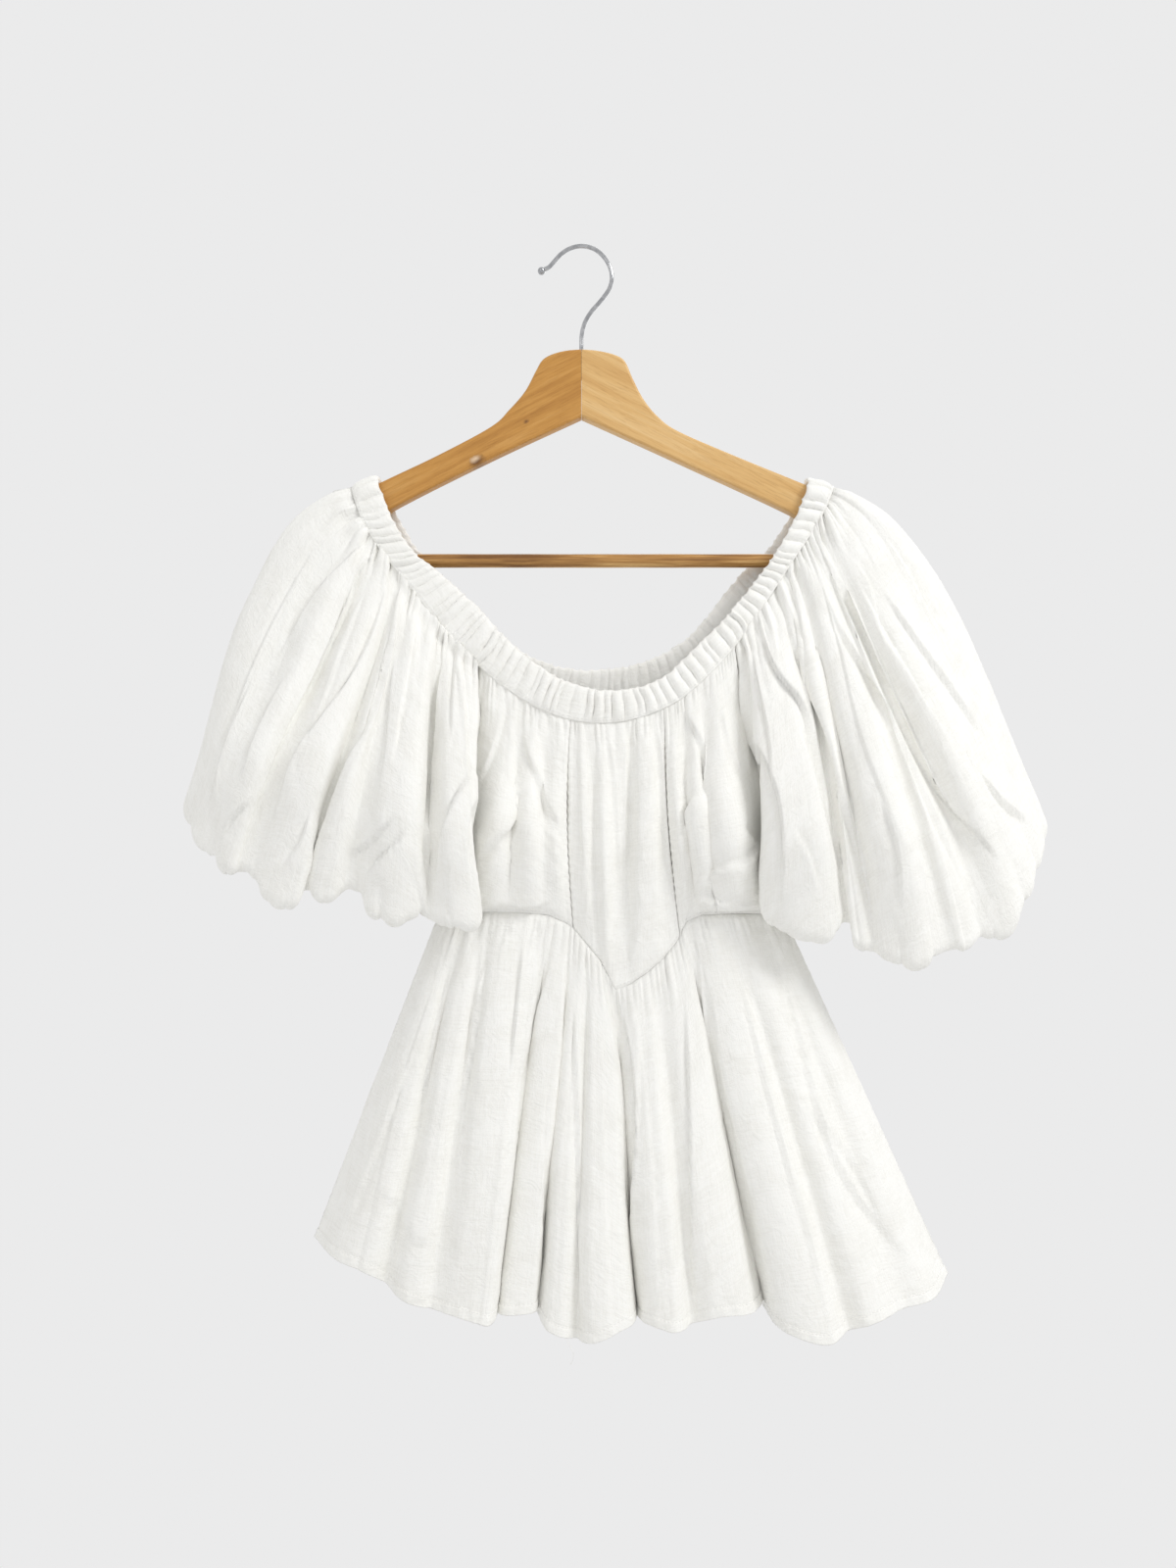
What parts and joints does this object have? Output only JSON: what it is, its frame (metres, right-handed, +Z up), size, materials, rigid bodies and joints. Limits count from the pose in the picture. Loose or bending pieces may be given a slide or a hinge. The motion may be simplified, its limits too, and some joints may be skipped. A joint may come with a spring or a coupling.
{
  "type": "linen blouse on a hanger",
  "caption": "White linen off-the-shoulder blouse with gathered neckline, bubble sleeves, pointed basque waist and flared peplum, hanging on a wooden hanger with a metal hook.",
  "frame": {"origin": "inner top of the hook, where a rail carries the hanger", "axes": "+X to the right as seen from the front, +Y from the front to the back, +Z up"},
  "size_m": [0.662, 0.1115, 0.8124],
  "materials": {
    "linen": "matte plain weave, slightly warm white",
    "wood_left": "clear satin varnish over orange-brown wood",
    "wood_right": "clear satin varnish over pale honey wood",
    "bar_wood": "clear satin varnish over blotchy brown wood",
    "hook_metal": "polished plating"
  },
  "bodies": {
    "root": {"hanger_arm_left": "wood_left", "hanger_arm_right": "wood_right", "hanger_bar": "bar_wood", "hanger_hook": "hook_metal", "neck_casing": "linen", "front_centre": "linen", "front_side_left": "linen", "front_side_right": "linen", "back_bodice": "linen", "sleeve_left": "linen", "sleeve_right": "linen", "cuff_left": "linen", "cuff_right": "linen", "peplum_front": "linen", "peplum_back": "linen"}
  },
  "joints": []
}
